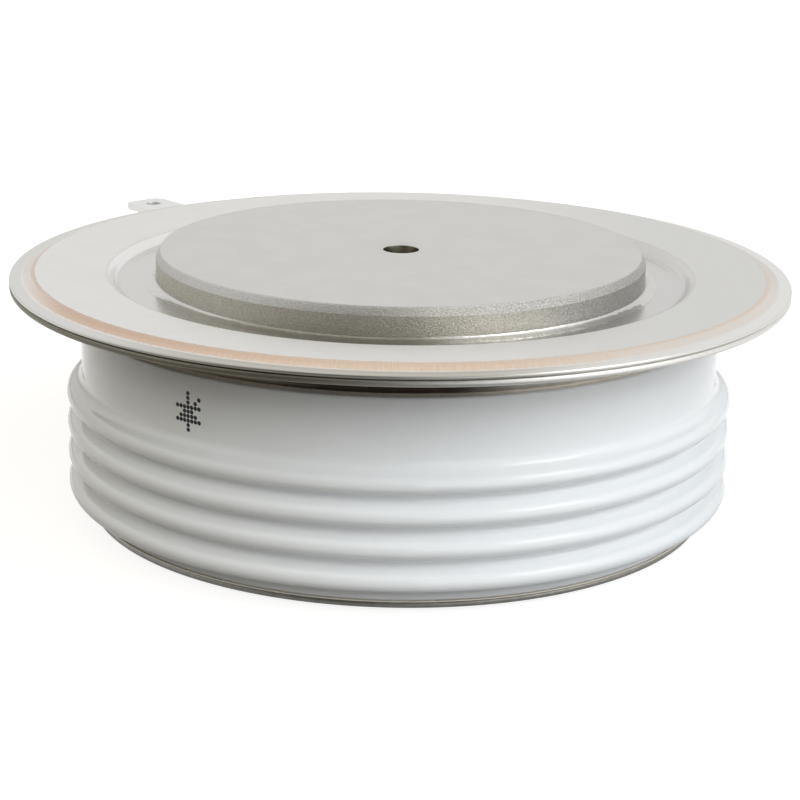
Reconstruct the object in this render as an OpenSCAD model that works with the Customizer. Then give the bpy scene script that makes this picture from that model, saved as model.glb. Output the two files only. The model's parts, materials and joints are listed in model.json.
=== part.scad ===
// Disc thyristor: a press-pack capsule with two copper poles in a ribbed ceramic housing.
// Millimetres. +Z is up, the origin is the centre of the anode contact face,
// and the cathode contact face is on top.

/* [Overall] */
// Height between the two contact faces
overall_height = 26; // [25:0.5:40]
// Diameter of each flat contact face
contact_dia = 47; // [40:0.5:60]

/* [Poles] */
// Radial width of the bevel round a contact face
bevel_run = 0.45; // [0.2:0.05:1]
// Height of that bevel
bevel_drop = 0.8; // [0.3:0.05:1]
// Radial width of the shoulder that a flange sheet is brazed to
pole_shoulder = 0.8; // [0.5:0.1:1.4]
// Diameter of the locating hole in each contact face
locating_dia = 3.5; // [2.5:0.1:4]
// Depth of the locating hole's full diameter below the face
locating_depth = 2.4; // [1.8:0.1:2.6]
// Diameter of the locating hole's shallow countersink
countersink_dia = 5.2; // [4.4:0.1:6]
// Depth of the locating hole's countersink
countersink_depth = 0.2; // [0.1:0.05:0.8]
// Radial width by which the cathode pole's inner contact is smaller than the pole
inner_margin = 0.95; // [0.5:0.05:2]
// Height of the step round the inner contact face
inner_step = 1.5; // [0.8:0.1:2.5]

/* [Ceramic] */
// Radial gap between the pole bodies and the ceramic's bore
pole_gap = 1.75; // [1.4:0.05:4]
// Wall of the ceramic at its neck
ceramic_wall = 4.8; // [3.5:0.1:8]
// Radial height of a rib above the neck
rib_height = 1.5; // [1.3:0.05:1.8]
// Number of ribs
rib_count = 4; // [1:1:4]
// Distance from rib to rib
rib_pitch = 3; // [2.9:0.05:3.2]
// Height of the lowest rib's crest above the ceramic's lower end
rib_start = 2.25; // [2.1:0.05:2.6]
// Radius of a rib's crest
crest_radius = 0.9; // [0.7:0.05:0.95]
// Radius at the bottom of a groove
groove_radius = 0.48; // [0.3:0.02:0.5]
// Height of the sloped shoulder above the top rib
shoulder_rise = 2.05; // [1.8:0.05:2.2]
// Step in from the neck to the lower neck
foot_step = 0.7; // [0.4:0.05:1.2]
// Edge chamfer of the ceramic's ends
ceramic_chamfer = 0.25; // [0.1:0.05:0.4]

/* [Sheet metal] */
// Thickness of the lid
lid_sheet = 0.4; // [0.3:0.05:0.5]
// Thickness of the weld flange and the anode flange
flange_sheet = 0.65; // [0.5:0.05:0.8]
// Radius at mid-thickness of the lid's bends
lid_bend = 1.2; // [0.6:0.05:1.3]
// Radius at mid-thickness of the flanges' bends
flange_bend = 0.6; // [0.5:0.05:0.8]
// Width of the rim outside the ceramic's neck
rim_width = 6.7; // [5.5:0.1:9]
// Height of the cathode face above the weld seam
cathode_stand = 2.55; // [2.3:0.05:3.4]
// Height of the weld flange from the seam down to its foot
collar_height = 3.35; // [2.8:0.05:4]
// Distance of the flanges' feet from the ceramic's bore
foot_margin = 1.6; // [0.8:0.1:2.4]
// Width of the lid's recess round the pole
recess_width = 3.8; // [3:0.1:4.8]
// Depth of the recess floor below the seam
recess_depth = 0.45; // [0.2:0.05:0.8]
// Radial width of the step out of the recess
step_run = 0.85; // [0.6:0.05:1.2]
// Height of the web's inner edge above the seam
web_inner_rise = 0.5; // [0.35:0.02:0.6]
// Height of the web's outer edge above the seam
web_outer_rise = 0.9; // [0.8:0.05:1.4]
// Width of the flat weld land at the rim
land_width = 1.25; // [0.8:0.05:1.6]
// Width of the slope between the web and the land
slope_run = 0.95; // [0.6:0.05:1.4]
// Height of the anode flange's outer underside above the anode face
anode_stand = 0.35; // [0.3:0.05:0.9]
// Rise of the anode flange's dished middle
anode_dish = 0.8; // [0.6:0.05:1.2]
// Thickness of the braze between the ceramic and a flange
braze = 0.1; // [0.05:0.01:0.2]
// Width of the braze that stands out round the ceramic's lower end
braze_bead = 0.1; // [0.05:0.01:0.2]
// Width of the braze fillet round the cathode pole
cathode_fillet_run = 1.1; // [0.5:0.05:1.4]
// Height of the braze fillet on the cathode pole
cathode_fillet_rise = 0.35; // [0.2:0.05:0.9]
// Leg of the braze fillet on the anode pole
anode_fillet = 0.4; // [0.25:0.05:0.45]

/* [Cathode tab] */
// Direction of the tab, from +X towards +Y
tab_angle = 131.5; // [125:0.5:134]
// Width of the tab
tab_width = 4.8; // [3.5:0.1:6.3]
// Length of the tab outside the rim
tab_length = 6.5; // [5:0.1:7]
// Corner radius of the tab
tab_corner = 1.2; // [0.5:0.1:1.6]
// Diameter of the hole in the tab
tab_hole_dia = 1.6; // [1:0.1:2]

/* [Wafer stack] */
// Thickness of the molybdenum disc on the anode side
anode_disc_height = 2; // [1.4:0.1:3]
// Thickness of the silicon wafer
wafer_height = 0.5; // [0.3:0.05:0.8]
// Radial width of the wafer's edge bevel
wafer_bevel = 0.45; // [0.2:0.05:0.8]
// Thickness of the molybdenum disc on the cathode side
cathode_disc_height = 1.2; // [0.8:0.1:2]
// Diameter of the gate opening in the cathode disc
gate_opening_dia = 4; // [3:0.1:4.6]
// Width of the edge seal's lip on the wafer
seal_lip = 0.6; // [0.3:0.05:0.8]
// Height of the edge seal above the wafer
seal_rise = 0.5; // [0.3:0.05:0.8]
// Height of the edge seal's skirt down the anode disc
seal_skirt = 1.2; // [0.6:0.1:1.3]
// Height of the centring ring
centring_height = 2.8; // [1.6:0.1:3.5]
// Clearance between the centring ring and the ceramic's bore
centring_clearance = 0.2; // [0.05:0.05:0.4]

/* [Gate] */
// Direction of the gate tube, from +X towards +Y
gate_angle = 150; // [145:0.5:155]
// Depth of the gate tube's axis below the ceramic's upper end
gate_drop = 2.8; // [2.4:0.1:3]
// Height of the gate tube's axis above the cathode pole's inner face
gate_rise = 3.5; // [3:0.1:4.5]
// Outer diameter of the gate tube in the ceramic
tube_dia = 2.4; // [2.2:0.1:2.8]
// Outer diameter of the gate tube's drawn end, which a receptacle grips
tube_end_dia = 2; // [1.9:0.05:2.15]
// Wall of the gate tube
tube_wall = 0.5; // [0.3:0.05:0.6]
// Length of the gate tube outside the ceramic's neck
tube_reach = 10; // [7:0.5:11]
// Length of the drawn end
tube_end_length = 8; // [5:0.5:8.5]
// Length of the gate tube inside the ceramic's bore
tube_inner_reach = 0.3; // [0.1:0.05:0.6]
// Closed length at the tube's tip
tube_closed = 0.8; // [0.5:0.1:1.5]
// Width of the braze collar round the gate tube
gate_collar = 0.6; // [0.3:0.05:0.8]
// Diameter of the gate wire
wire_dia = 0.8; // [0.5:0.05:1]
// Wall of the gate wire's sleeve
sleeve_wall = 0.35; // [0.2:0.05:0.4]
// Clearance of the sleeve in its slots
slot_clearance = 0.2; // [0.1:0.05:0.4]
// Outer diameter of the insulating cup
cup_dia = 7; // [6.6:0.1:8]
// Wall of the insulating cup
cup_wall = 0.9; // [0.6:0.1:1]
// Diameter of the gate pin's tip
pin_dia = 2.2; // [1.6:0.1:2.4]
// Height of the gate pin's head
pin_head = 1.6; // [1.3:0.1:2]
// Clearance of the gate pin in its cup and bush
pin_clearance = 0.15; // [0.05:0.05:0.3]
// Height of the guide bush
bush_height = 1.2; // [0.8:0.1:2]
// Length of the spring as fitted
spring_length = 2.9; // [2.5:0.1:3.2]
// Wire diameter of the spring
spring_wire = 0.4; // [0.3:0.05:0.5]
// Number of coils
spring_coils = 4; // [3:1:4]

/* [Hidden] */
$fn = 240;
arc_steps = 8;
coil_steps = 16;
wire_steps = 8;
// Length by which a cutting solid passes the surface that it opens
cut_over = 1;

// Radii, from the contact face outwards
contact_r = contact_dia / 2;
pole_r = contact_r + bevel_run;
inner_contact_r = pole_r - inner_margin;
body_r = pole_r + pole_shoulder;
bore_r = body_r + pole_gap;
neck_r = bore_r + ceramic_wall;
rib_r = neck_r + rib_height;
foot_r = neck_r - foot_step;
brazed_r = bore_r + foot_margin;
rim_r = neck_r + rim_width;
collar_bend = flange_bend + flange_sheet / 2;
locating_r = locating_dia / 2;
countersink_r = countersink_dia / 2;
drill_point = locating_r / tan(59);

// Heights of the capsule
seam_z = overall_height - cathode_stand;
ceramic_top = seam_z - collar_height - braze;
anode_foot_top = anode_stand + flange_sheet;
ceramic_bottom = anode_foot_top + braze;
recess_top = seam_z - recess_depth;
cathode_seat = recess_top - lid_sheet;
anode_recess = anode_stand + anode_dish;
anode_seat = anode_recess + flange_sheet;

// Heights of the wafer stack, from the gate tube downwards
gate_z = ceramic_top - gate_drop;
inner_face = gate_z - gate_rise;
wafer_top = inner_face - cathode_disc_height;
wafer_bottom = wafer_top - wafer_height;
anode_pole_top = wafer_bottom - anode_disc_height;
seal_bottom = wafer_bottom - seal_skirt;

// Gate parts
tube_r = tube_dia / 2;
tube_bore_r = tube_r - tube_wall;
tube_tip = neck_r + tube_reach;
wire_r = wire_dia / 2;
sleeve_r = wire_r + sleeve_wall;
slot_r = sleeve_r + slot_clearance;
cup_r = cup_dia / 2;
cup_bore_r = cup_r - cup_wall;
pin_r = pin_dia / 2;
head_r = cup_bore_r - pin_clearance;
head_bottom = gate_z - pin_head / 2;
head_top = gate_z + pin_head / 2;
cup_ceiling = head_top + spring_length;
cup_top = cup_ceiling + cup_wall;
spring_r = head_r - spring_wire / 2;

// Points of an arc from one angle to another
function arc(centre, radius, from, to) = [
    for (i = [0 : arc_steps])
        let (a = from + (to - from) * i / arc_steps)
        centre + radius * [cos(a), sin(a)]
];

function unit(v) = v / norm(v);
function left_of(v) = [-v[1], v[0]];
function turn(u, v) = atan2(u[0] * v[1] - u[1] * v[0], u * v);
function reversed(list) = [for (i = [len(list) - 1 : -1 : 0]) list[i]];

// One edge of a bent sheet: the bend line path moved sideways by shift, with concentric bends
function sheet_edge(path, shift, radius) = let (last = len(path) - 1) [
    path[0] + shift * left_of(unit(path[1] - path[0])),
    for (i = [1 : last - 1])
        each sheet_bend(path[i - 1], path[i], path[i + 1], shift, radius),
    path[last] + shift * left_of(unit(path[last] - path[last - 1]))
];

function sheet_bend(before, corner, after, shift, radius) =
    let (
        u = unit(corner - before),
        v = unit(after - corner),
        angle = turn(u, v),
        side = sign(angle),
        tangent = radius * tan(abs(angle) / 2),
        centre = corner - u * tangent + side * radius * left_of(u),
        start = -side * left_of(u),
        from = atan2(start[1], start[0])
    )
    arc(centre, radius - side * shift, from, from + angle);

// Closed outline of a bent sheet with a rounded outer end
function sheet_outline(path, thickness, radius) =
    let (
        half = thickness / 2,
        last = path[len(path) - 1],
        end = last - [half, 0],
        line = [for (i = [0 : len(path) - 1]) i == len(path) - 1 ? end : path[i]]
    )
    concat(sheet_edge(line, -half, radius), arc(end, half, -90, 90),
        reversed(sheet_edge(line, half, radius)));

module turned(outline) {
    rotate_extrude() polygon(outline);
}

// Ring with a square section
module ring(inner_r, outer_r, bottom, top) {
    turned([[inner_r, bottom], [outer_r, bottom], [outer_r, top], [inner_r, top]]);
}

// Solid bar along a radius of the capsule at the gate's height
module gate_bar(radius, from, to) {
    rotate([0, 0, gate_angle])
        translate([from, 0, gate_z])
            rotate([0, 90, 0]) cylinder(r = radius, h = to - from);
}

// Slot from the inner face up over the gate wire, open downwards
module gate_slot(from, to) {
    rotate([0, 0, gate_angle])
        translate([from, -slot_r, inner_face - cut_over])
            cube([to - from, 2 * slot_r, gate_rise + slot_r + cut_over]);
}

// Outline of a hollow braze fillet in the corner at (radius, level); a negative rise hangs down
function fillet_outline(radius, level, run, rise) =
    let (edge = 0.1)
    concat(
        [[radius, level], [radius + run, level]],
        [
            for (i = [0 : arc_steps])
                let (a = 90 * i / arc_steps)
                [radius + run * (1 - (1 - edge) * sin(a)), level + rise * (1 - (1 - edge) * cos(a))]
        ],
        [[radius, level + rise]]
    );

module cathode_pole() {
    face = overall_height;
    color("silver") difference() {
        turned([
            [0, cup_top],
            [cup_r, cup_top],
            [cup_r, inner_face],
            [inner_contact_r, inner_face],
            [inner_contact_r, inner_face + inner_step],
            [body_r, inner_face + inner_step],
            [body_r, cathode_seat],
            [pole_r, cathode_seat],
            [pole_r, face - bevel_drop],
            [contact_r, face],
            [countersink_r, face],
            [locating_r, face - countersink_depth],
            [locating_r, face - locating_depth],
            [0, face - locating_depth - drill_point]
        ]);
        gate_slot(0, body_r + cut_over);
    }
}

module anode_pole() {
    color("silver") turned([
        [0, locating_depth + drill_point],
        [locating_r, locating_depth],
        [locating_r, countersink_depth],
        [countersink_r, 0],
        [contact_r, 0],
        [pole_r, bevel_drop],
        [pole_r, anode_seat],
        [body_r, anode_seat],
        [body_r, anode_pole_top],
        [0, anode_pole_top]
    ]);
}

module cathode_lid() {
    half = lid_sheet / 2;
    recess_r = pole_r + recess_width;
    land_r = rim_r - land_width;
    color("lightgrey") turned(sheet_outline([
        [pole_r, recess_top - half],
        [recess_r, recess_top - half],
        [recess_r + step_run, seam_z + web_inner_rise - half],
        [land_r - slope_run, seam_z + web_outer_rise - half],
        [land_r, seam_z + half],
        [rim_r, seam_z + half]
    ], lid_sheet, lid_bend));
}

module tab_outline() {
    tip = rim_r + tab_length;
    root = rim_r - land_width;
    half = tab_width / 2;
    difference() {
        union() {
            translate([root, -half]) square([tip - tab_corner - root, tab_width]);
            translate([root, tab_corner - half])
                square([tip - root, tab_width - 2 * tab_corner]);
            for (side = [-1, 1])
                translate([tip - tab_corner, side * (half - tab_corner)])
                    circle(r = tab_corner);
        }
        translate([tip - half, 0]) circle(d = tab_hole_dia);
    }
}

module weld_flange() {
    half = flange_sheet / 2;
    collar_r = neck_r - half;
    foot_z = ceramic_top + braze + half;
    color("gainsboro") union() {
        turned(sheet_outline([
            [brazed_r, foot_z],
            [collar_r, foot_z],
            [collar_r, seam_z - half],
            [rim_r, seam_z - half]
        ], flange_sheet, flange_bend));
        rotate([0, 0, tab_angle])
            translate([0, 0, seam_z - flange_sheet])
                linear_extrude(height = flange_sheet) tab_outline();
    }
}

module anode_flange() {
    half = flange_sheet / 2;
    step_out = bore_r - half;
    color("dimgrey") turned(sheet_outline([
        [pole_r, anode_recess + half],
        [step_out - step_run, anode_recess + half],
        [step_out, anode_stand + half],
        [foot_r, anode_stand + half]
    ], flange_sheet, flange_bend));
}

module cathode_braze() {
    color("whitesmoke")
        turned(fillet_outline(pole_r, recess_top, cathode_fillet_run, cathode_fillet_rise));
}

module anode_braze() {
    color("whitesmoke")
        turned(fillet_outline(pole_r, anode_recess, anode_fillet, -anode_fillet));
}

// The upper braze fills the corner under the collar's bend
module upper_braze() {
    foot_z = ceramic_top + braze;
    bend = [neck_r - collar_bend, foot_z + collar_bend];
    color("whitesmoke") turned(concat(
        [[brazed_r, foot_z], [brazed_r, ceramic_top], [neck_r - ceramic_chamfer, ceramic_top]],
        arc(bend, collar_bend, -60, -90)
    ));
}

module lower_braze() {
    color("whitesmoke")
        ring(brazed_r, foot_r + braze_bead, anode_foot_top, ceramic_bottom);
}

// Centre of a rib's crest arc and of a groove's arc
function crest_at(i) = [rib_r - crest_radius, ceramic_bottom + rib_start + i * rib_pitch];
function groove_at(i) = [neck_r + groove_radius, crest_at(i)[1] + rib_pitch / 2];

// Direction of the straight flank between a crest and a groove arc, from the line of centres
function flank_angle(crest, groove) =
    let (line = groove - crest)
    atan2(line[1], line[0]) - acos((crest_radius + groove_radius) / norm(line));

// Outer outline of the ribs, from the lowest crest's underside to the top rib's shoulder
function rib_outline(flank) = let (top = rib_count - 1) [
    for (i = [0 : top])
        each concat(
            arc(crest_at(i), crest_radius, -flank, i < top ? flank : shoulder_angle()),
            i < top ? arc(groove_at(i), groove_radius, 180 + flank, 180 - flank) : []
        )
];

// The top rib's shoulder blends into the neck with a larger arc, tangent to the crest
function shoulder_radius() =
    let (across = rib_r - crest_radius - neck_r)
    (pow(shoulder_rise, 2) + pow(across, 2) - pow(crest_radius, 2))
        / (2 * (crest_radius + across));
function shoulder_centre() =
    [neck_r + shoulder_radius(), crest_at(rib_count - 1)[1] + shoulder_rise];
function shoulder_angle() =
    let (line = shoulder_centre() - crest_at(rib_count - 1))
    atan2(line[1], line[0]);

// The lowest rib's underside runs into the lower neck with a groove's arc
function foot_fillet(flank) =
    let (
        across = foot_r + groove_radius - crest_at(0)[0],
        reach = crest_radius + groove_radius
    )
    [foot_r + groove_radius, crest_at(0)[1] - (reach - across * cos(flank)) / sin(flank)];

// The ceramic before its gate hole is made
module ceramic_blank() {
    c = ceramic_chamfer;
    flank = flank_angle(crest_at(0), groove_at(0));
    turned(concat(
        [
            [bore_r + c, ceramic_bottom],
            [foot_r - c, ceramic_bottom],
            [foot_r, ceramic_bottom + c]
        ],
        arc(foot_fillet(flank), groove_radius, 180, 180 - flank),
        rib_outline(flank),
        arc(shoulder_centre(), shoulder_radius(), 180 + shoulder_angle(), 180),
        [
            [neck_r, ceramic_top - c],
            [neck_r - c, ceramic_top],
            [bore_r + c, ceramic_top],
            [bore_r, ceramic_top - c],
            [bore_r, ceramic_bottom + c]
        ]
    ));
}

module ceramic_housing() {
    color("white") difference() {
        ceramic_blank();
        gate_bar(tube_r, body_r, rib_r + cut_over);
    }
}

module anode_disc() {
    color("slategrey") ring(0, body_r, anode_pole_top, wafer_bottom);
}

module silicon_wafer() {
    color("darkslategrey")
        translate([0, 0, wafer_bottom])
            cylinder(r1 = body_r, r2 = body_r - wafer_bevel, h = wafer_height);
}

module edge_seal() {
    wall = pole_gap / 2;
    bevel_r = body_r - wafer_bevel;
    color("firebrick") turned([
        [body_r, seal_bottom],
        [body_r + wall, seal_bottom],
        [body_r + wall, wafer_top + seal_rise],
        [bevel_r - seal_lip, wafer_top + seal_rise],
        [bevel_r - seal_lip, wafer_top],
        [bevel_r, wafer_top],
        [body_r, wafer_bottom]
    ]);
}

module centring_ring() {
    color("ivory")
        ring(body_r, bore_r - centring_clearance, seal_bottom - centring_height, seal_bottom);
}

module cathode_disc() {
    color("slategrey")
        ring(gate_opening_dia / 2, inner_contact_r, wafer_top, inner_face);
}

module gate_cup() {
    color("ivory") difference() {
        turned([
            [0, cup_ceiling],
            [cup_bore_r, cup_ceiling],
            [cup_bore_r, inner_face],
            [cup_r, inner_face],
            [cup_r, cup_top],
            [0, cup_top]
        ]);
        gate_slot(0, cup_r + cut_over);
    }
}

module gate_bush() {
    color("ivory") ring(pin_r + pin_clearance, cup_bore_r, inner_face, inner_face + bush_height);
}

module gate_pin() {
    color("silver") turned([
        [0, wafer_top],
        [pin_r, wafer_top],
        [pin_r, head_bottom],
        [head_r, head_bottom],
        [head_r, head_top],
        [0, head_top]
    ]);
}

// Height of the spring's wire along a coil whose end turns lie flat
function coil_height(turns) =
    let (
        flat = 1.1 * spring_wire,
        open_turns = spring_coils - 2,
        open = (spring_length - spring_wire - 2 * flat) / open_turns
    )
    flat * min(turns, 1) + open * min(max(turns - 1, 0), open_turns)
        + flat * max(turns - spring_coils + 1, 0);

module gate_spring() {
    rings = spring_coils * coil_steps;
    points = [
        for (i = [0 : rings], j = [0 : wire_steps - 1])
            let (
                a = 360 * i / coil_steps,
                b = 360 * j / wire_steps,
                r = spring_r + spring_wire / 2 * cos(b),
                z = head_top + spring_wire / 2 * (1 + sin(b)) + coil_height(i / coil_steps)
            )
            [r * cos(a), r * sin(a), z]
    ];
    sides = [
        for (i = [0 : rings - 1], j = [0 : wire_steps - 1])
            let (
                k = (j + 1) % wire_steps,
                base = i * wire_steps,
                next = base + wire_steps
            )
            [base + j, base + k, next + k, next + j]
    ];
    start = [for (j = [wire_steps - 1 : -1 : 0]) j];
    finish = [for (j = [0 : wire_steps - 1]) rings * wire_steps + j];
    color("silver") polyhedron(points, concat(sides, [start, finish]), convexity = 8);
}

module gate_lead() {
    color("goldenrod") difference() {
        gate_bar(wire_r, 0, tube_tip - tube_closed);
        translate([0, 0, head_bottom]) cylinder(r = head_r, h = pin_head);
    }
}

module gate_sleeve() {
    color("white") difference() {
        gate_bar(sleeve_r, cup_bore_r, bore_r - tube_inner_reach);
        gate_bar(wire_r, 0, tube_tip);
    }
}

module gate_tube() {
    color("silver") difference() {
        union() {
            gate_bar(tube_r, bore_r - tube_inner_reach, tube_tip - tube_end_length);
            gate_bar(tube_end_dia / 2, bore_r, tube_tip);
        }
        gate_bar(tube_bore_r, body_r, tube_tip - tube_closed);
    }
}

module gate_braze() {
    color("whitesmoke") difference() {
        gate_bar(tube_r + gate_collar, neck_r - gate_collar, neck_r + gate_collar);
        gate_bar(tube_r, bore_r, tube_tip);
        ceramic_blank();
    }
}

cathode_pole();
cathode_lid();
cathode_braze();
weld_flange();
upper_braze();
ceramic_housing();
lower_braze();
anode_flange();
anode_pole();
anode_braze();
anode_disc();
silicon_wafer();
edge_seal();
centring_ring();
cathode_disc();
gate_cup();
gate_bush();
gate_pin();
gate_spring();
gate_lead();
gate_sleeve();
gate_tube();
gate_braze();
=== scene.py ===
# Disc thyristor: the looks of a press-pack capsule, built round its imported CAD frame.
# Metres, in the frame's axes: +Z is up, and the camera stands on the -Y side.
import json
import math

import bpy
from mathutils import Matrix, Vector


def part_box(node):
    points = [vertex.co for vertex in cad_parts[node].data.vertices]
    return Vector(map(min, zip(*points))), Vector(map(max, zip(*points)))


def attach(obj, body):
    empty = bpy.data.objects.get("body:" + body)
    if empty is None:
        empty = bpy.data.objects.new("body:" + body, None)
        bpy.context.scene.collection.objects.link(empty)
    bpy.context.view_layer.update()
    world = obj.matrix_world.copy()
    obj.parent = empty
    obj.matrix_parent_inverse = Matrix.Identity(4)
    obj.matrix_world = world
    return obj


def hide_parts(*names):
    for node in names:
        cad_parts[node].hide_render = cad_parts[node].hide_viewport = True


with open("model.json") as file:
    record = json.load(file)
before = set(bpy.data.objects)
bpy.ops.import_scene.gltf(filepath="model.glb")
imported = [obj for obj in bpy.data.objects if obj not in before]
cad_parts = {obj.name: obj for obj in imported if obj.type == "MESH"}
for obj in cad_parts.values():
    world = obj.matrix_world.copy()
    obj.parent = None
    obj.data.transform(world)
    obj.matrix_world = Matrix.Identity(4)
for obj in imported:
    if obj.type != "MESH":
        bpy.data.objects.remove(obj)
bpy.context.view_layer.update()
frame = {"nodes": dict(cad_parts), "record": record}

mm = 0.001

# Places taken from the frame
face_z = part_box("cathode_pole")[1].z
inner_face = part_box("cathode_pole")[0].z
rim_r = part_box("cathode_lid")[1].x
lid_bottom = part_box("cathode_lid")[0].z
seam_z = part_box("weld_flange")[1].z
ceramic_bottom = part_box("ceramic_housing")[0].z
ceramic_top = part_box("ceramic_housing")[1].z
rib_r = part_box("ceramic_housing")[1].x
anode_pole_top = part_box("anode_pole")[1].z
body_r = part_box("anode_pole")[1].x
foot_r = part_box("anode_flange")[1].x
anode_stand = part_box("anode_flange")[0].z
cup_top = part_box("gate_cup")[1].z
cup_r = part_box("gate_cup")[1].x

# Sizes that the source gives
lid_sheet = 0.4 * mm
flange_sheet = 0.65 * mm
lid_bend = 1.2 * mm
flange_bend = 0.6 * mm
contact_r = 23.5 * mm
bevel_run = 0.45 * mm
bevel_drop = 0.8 * mm
locating_r = 1.75 * mm
locating_depth = 2.4 * mm
countersink_r = 2.6 * mm
countersink_depth = 0.2 * mm
drill_slope = math.tan(math.radians(59))
inner_margin = 0.95 * mm
inner_step = 1.5 * mm
ceramic_wall = 4.8 * mm
pole_gap = 1.75 * mm
rib_count = 4
rib_pitch = 3 * mm
rib_start = 2.25 * mm
crest_radius = 0.9 * mm
groove_radius = 0.48 * mm
shoulder_rise = 2.05 * mm
ceramic_edge = 0.25 * mm
foot_margin = 1.6 * mm
recess_width = 3.8 * mm
step_run = 0.85 * mm
web_inner_rise = 0.5 * mm
web_outer_rise = 0.9 * mm
land_width = 1.25 * mm
slope_run = 0.95 * mm
anode_dish = 0.8 * mm
braze = 0.1 * mm
braze_bead = 0.1 * mm
cathode_fillet_run = 1.1 * mm
cathode_fillet_rise = 0.35 * mm
anode_fillet = 0.4 * mm
tab_angle = math.radians(131.5)
tab_width = 4.8 * mm
tab_length = 6.5 * mm
tab_corner = 1.2 * mm
tab_hole_r = 0.8 * mm
gate_angle = math.radians(150)
gate_z = 17.2 * mm
tube_r = 1.2 * mm
tube_end_r = 1 * mm
tube_bore_r = 0.7 * mm
tube_tip = 41.3 * mm
tube_end_length = 8 * mm
tube_closed = 0.8 * mm
tube_inner_reach = 0.3 * mm
gate_collar = 0.6 * mm
slot_r = 0.95 * mm

# Printed mark on the neck
mark_angle = math.radians(-126.35)
mark_z = 16.55 * mm
dot_pitch = 0.42 * mm
dot_r = 0.2 * mm

# Radii that follow from them
pole_r = contact_r + bevel_run
bore_r = body_r + pole_gap
neck_r = bore_r + ceramic_wall
brazed_r = bore_r + foot_margin
recess_r = pole_r + recess_width
land_r = rim_r - land_width
web_r = land_r - slope_run
recess_top = lid_bottom + lid_sheet
anode_foot_top = anode_stand + flange_sheet
anode_recess = anode_stand + anode_dish

# Fineness of the meshes
turn_steps = 360
fine_steps = 720
arc_steps = 10
merge_gap = 1e-7
edge_round = 0.06 * mm


# Section drawing


def arc(centre, radius, start, stop, steps=arc_steps):
    """Points of an arc from one angle to another, in degrees."""
    angles = [math.radians(start + (stop - start) * i / steps) for i in range(steps + 1)]
    return [Vector((centre[0] + radius * math.cos(a), centre[1] + radius * math.sin(a))) for a in angles]


def bend(before, corner, after, radius, steps):
    """Points of the arc that rounds one corner of a section."""
    into = (corner - before).normalized()
    out = (after - corner).normalized()
    turn = math.atan2(into.x * out.y - into.y * out.x, into.dot(out))
    if abs(turn) < 1e-6:
        return [corner]
    side = math.copysign(1, turn)
    start = corner - into * radius * math.tan(abs(turn) / 2)
    centre = start + side * radius * Vector((-into.y, into.x))
    spoke = start - centre
    return [centre + Matrix.Rotation(turn * i / steps, 2) @ spoke for i in range(steps + 1)]


def rounded(points, radius, steps=arc_steps):
    """An open section with every inner corner rounded."""
    corners = [Vector(p) for p in points]
    line = [corners[0]]
    for before, corner, after in zip(corners, corners[1:], corners[2:]):
        line += bend(before, corner, after, radius, steps)
    return line + [corners[-1]]


def sheet_section(path, thickness, radius):
    """Closed outline of a bent sheet with a round outer end, from the line at its mid-thickness."""
    half = thickness / 2
    end = Vector(path[-1]) - Vector((half, 0))
    line = rounded(path[:-1] + [end], radius)
    ahead = [(b - a).normalized() for a, b in zip(line, line[1:])]
    between = [(a + b).normalized() for a, b in zip(ahead, ahead[1:])]
    aside = [Vector((-t.y, t.x)) * half for t in ahead[:1] + between + ahead[-1:]]
    under = [p - s for p, s in zip(line, aside)]
    over = [p + s for p, s in zip(line, aside)]
    return under[:-1] + arc(end, half, -90, 90) + over[-2::-1]


def spaced(start, stop, step):
    """Points on a straight stretch of a section, about a step apart."""
    start, stop = Vector(start), Vector(stop)
    count = max(1, round((stop - start).length / step))
    return [start.lerp(stop, i / count) for i in range(count + 1)]


# Modelling


def deselect():
    bpy.ops.object.select_all(action="DESELECT")


def choose(piece):
    """Make the piece the only selected object, and the active one."""
    deselect()
    piece.select_set(True)
    bpy.context.view_layer.objects.active = piece


def apply_modifier(piece, kind, **settings):
    """Add a modifier to the piece and apply it."""
    choose(piece)
    modifier = piece.modifiers.new(kind.lower(), kind)
    for name, value in settings.items():
        setattr(modifier, name, value)
    bpy.ops.object.modifier_apply(modifier=modifier.name)


def turned(name, section, steps=turn_steps, closed=True):
    """Draw a section of (radius, height) points from one vertex and spin it round the Z axis."""
    deselect()
    bpy.ops.mesh.primitive_plane_add(size=mm)
    piece = bpy.context.object
    piece.name = name
    piece.data.name = name
    bpy.ops.object.mode_set(mode="EDIT")
    bpy.ops.mesh.select_mode(type="VERT")
    bpy.ops.mesh.select_all(action="SELECT")
    bpy.ops.mesh.merge(type="CENTER")
    bpy.ops.transform.translate(value=(section[0].x, 0, section[0].y))
    ends = section[1:] + section[:1] if closed else section[1:]
    place = section[0]
    for point in ends:
        move = (point.x - place.x, 0, point.y - place.y)
        bpy.ops.mesh.extrude_region_move(TRANSFORM_OT_translate={"value": move})
        place = point
    bpy.ops.mesh.select_all(action="SELECT")
    bpy.ops.mesh.remove_doubles(threshold=merge_gap)
    bpy.ops.mesh.spin(steps=steps, angle=math.tau, center=(0, 0, 0), axis=(0, 0, 1))
    bpy.ops.mesh.select_all(action="SELECT")
    bpy.ops.mesh.remove_doubles(threshold=merge_gap)
    bpy.ops.mesh.normals_make_consistent(inside=False)
    bpy.ops.object.mode_set(mode="OBJECT")
    return piece


def pick_edges(piece, test):
    """Go into edit mode with the edges selected whose two ends pass the test."""
    choose(piece)
    bpy.ops.object.mode_set(mode="EDIT")
    bpy.ops.mesh.select_mode(type="EDGE")
    bpy.ops.mesh.select_all(action="DESELECT")
    bpy.ops.object.mode_set(mode="OBJECT")
    points = piece.data.vertices
    for edge in piece.data.edges:
        edge.select = test(*(points[i].co for i in edge.vertices))
    bpy.ops.object.mode_set(mode="EDIT")


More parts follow.
